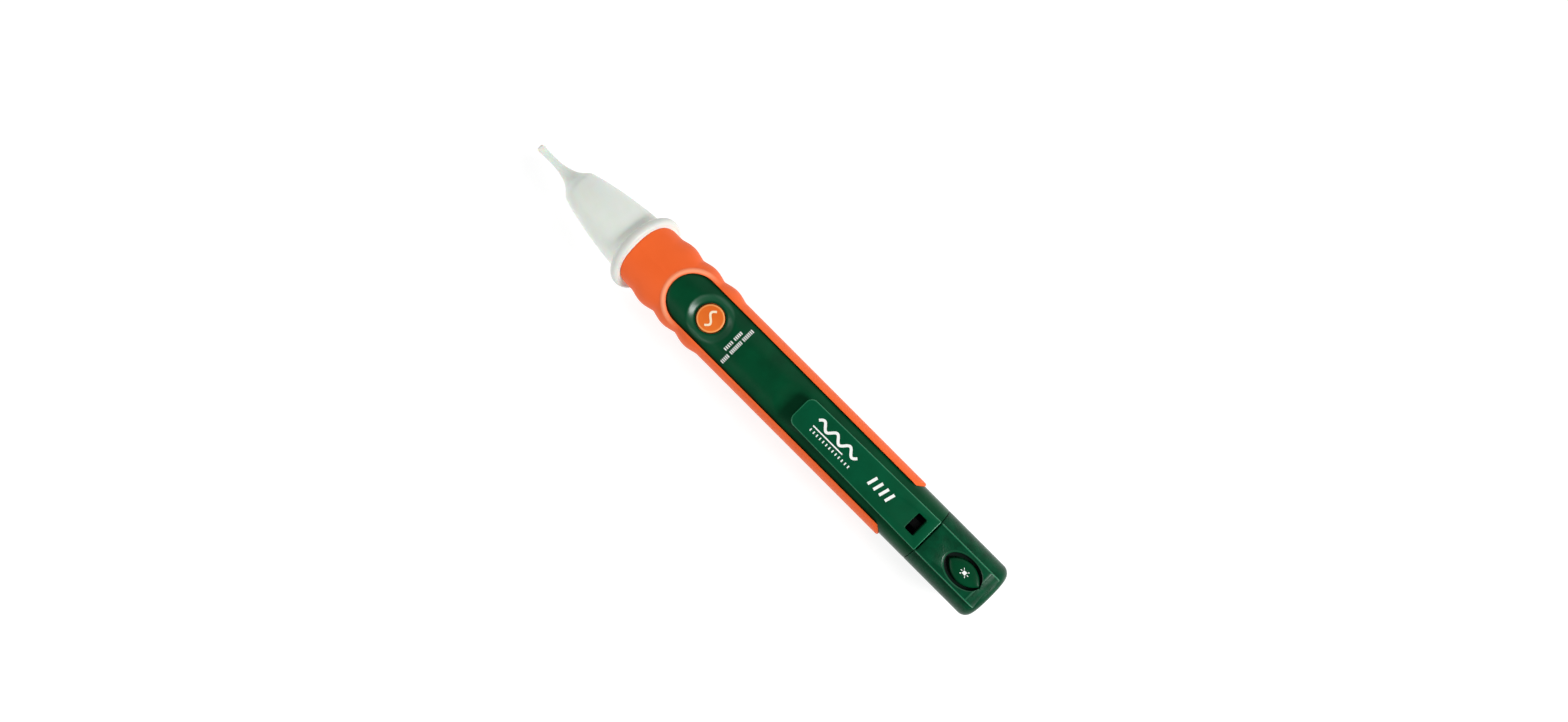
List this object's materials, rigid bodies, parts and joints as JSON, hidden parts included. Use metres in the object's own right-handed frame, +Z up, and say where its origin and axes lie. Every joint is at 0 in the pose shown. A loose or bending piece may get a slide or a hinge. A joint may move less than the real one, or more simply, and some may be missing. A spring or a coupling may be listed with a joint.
{
  "type": "non contact voltage tester",
  "caption": "Pen-shaped non-contact voltage tester with probe cone, raked finger guard, range button, pocket clip and pull-off torch cap.",
  "frame": {"origin": "bottom centre of the whole pen, under the middle of its length, at the guard's lowest point", "axes": "+X along the pen from the probe tip to the tail, +Z up through the buttons, Y across the pen"},
  "size_m": [0.176, 0.0238, 0.0224],
  "materials": {
    "tip": "translucent satin white",
    "green": "satin dark green",
    "grip": "soft matt orange overmould",
    "button": "satin orange",
    "black_plastic": "matt black",
    "board": "green solder mask",
    "cell": "printed black sleeve on steel",
    "spring_steel": "bright spring steel",
    "contact": "bright brass",
    "red_lamp": "clear red resin",
    "clear_lens": "clear polished",
    "mirror_cup": "bright metallised plastic"
  },
  "bodies": {
    "housing": {"probe_tip": "tip", "sensing_antenna": "spring_steel", "indicator_led": "red_lamp", "upper_housing": "green", "lower_housing": "green", "grip_sleeve": "grip", "range_switch": "black_plastic", "main_board": "board", "controller_chip": "black_plastic", "buzzer": "black_plastic", "filter_capacitor": "spring_steel", "front_contact": "contact", "battery_tray": "black_plastic", "battery_front": "cell", "battery_rear": "cell", "conductor_strip": "contact"},
    "range_key": {"range_button": "button", "range_switch_plunger": "black_plastic"},
    "clip": {"pocket_clip": "green"},
    "cap": {"tail_cap": "green", "torch_switch": "black_plastic", "torch_board": "board", "torch_spring": "spring_steel", "torch_contact_leaf": "contact", "torch_led": "clear_lens", "torch_reflector": "mirror_cup", "torch_lens": "clear_lens"},
    "torch_key": {"torch_button": "green", "torch_switch_plunger": "black_plastic"}
  },
  "joints": [
    {"name": "range_button_press", "type": "slide", "parent": "housing", "child": "range_key", "axis": [0, 0, -1], "range_m": [0, 0.0005], "stiffness_N_per_m": 4000},
    {"name": "clip_flex", "type": "hinge", "parent": "housing", "child": "clip", "pos_m": [0.062, 0, 0.02035], "axis": [0, 1, 0], "range_deg": [0, 4], "stiffness_Nm_per_rad": 3},
    {"name": "cap_pull", "type": "slide", "parent": "housing", "child": "cap", "axis": [1, 0, 0], "range_m": [0, 0.03]},
    {"name": "torch_button_press", "type": "slide", "parent": "cap", "child": "torch_key", "axis": [0, 0, -1], "range_m": [0, 0.0005], "stiffness_N_per_m": 4000}
  ]
}
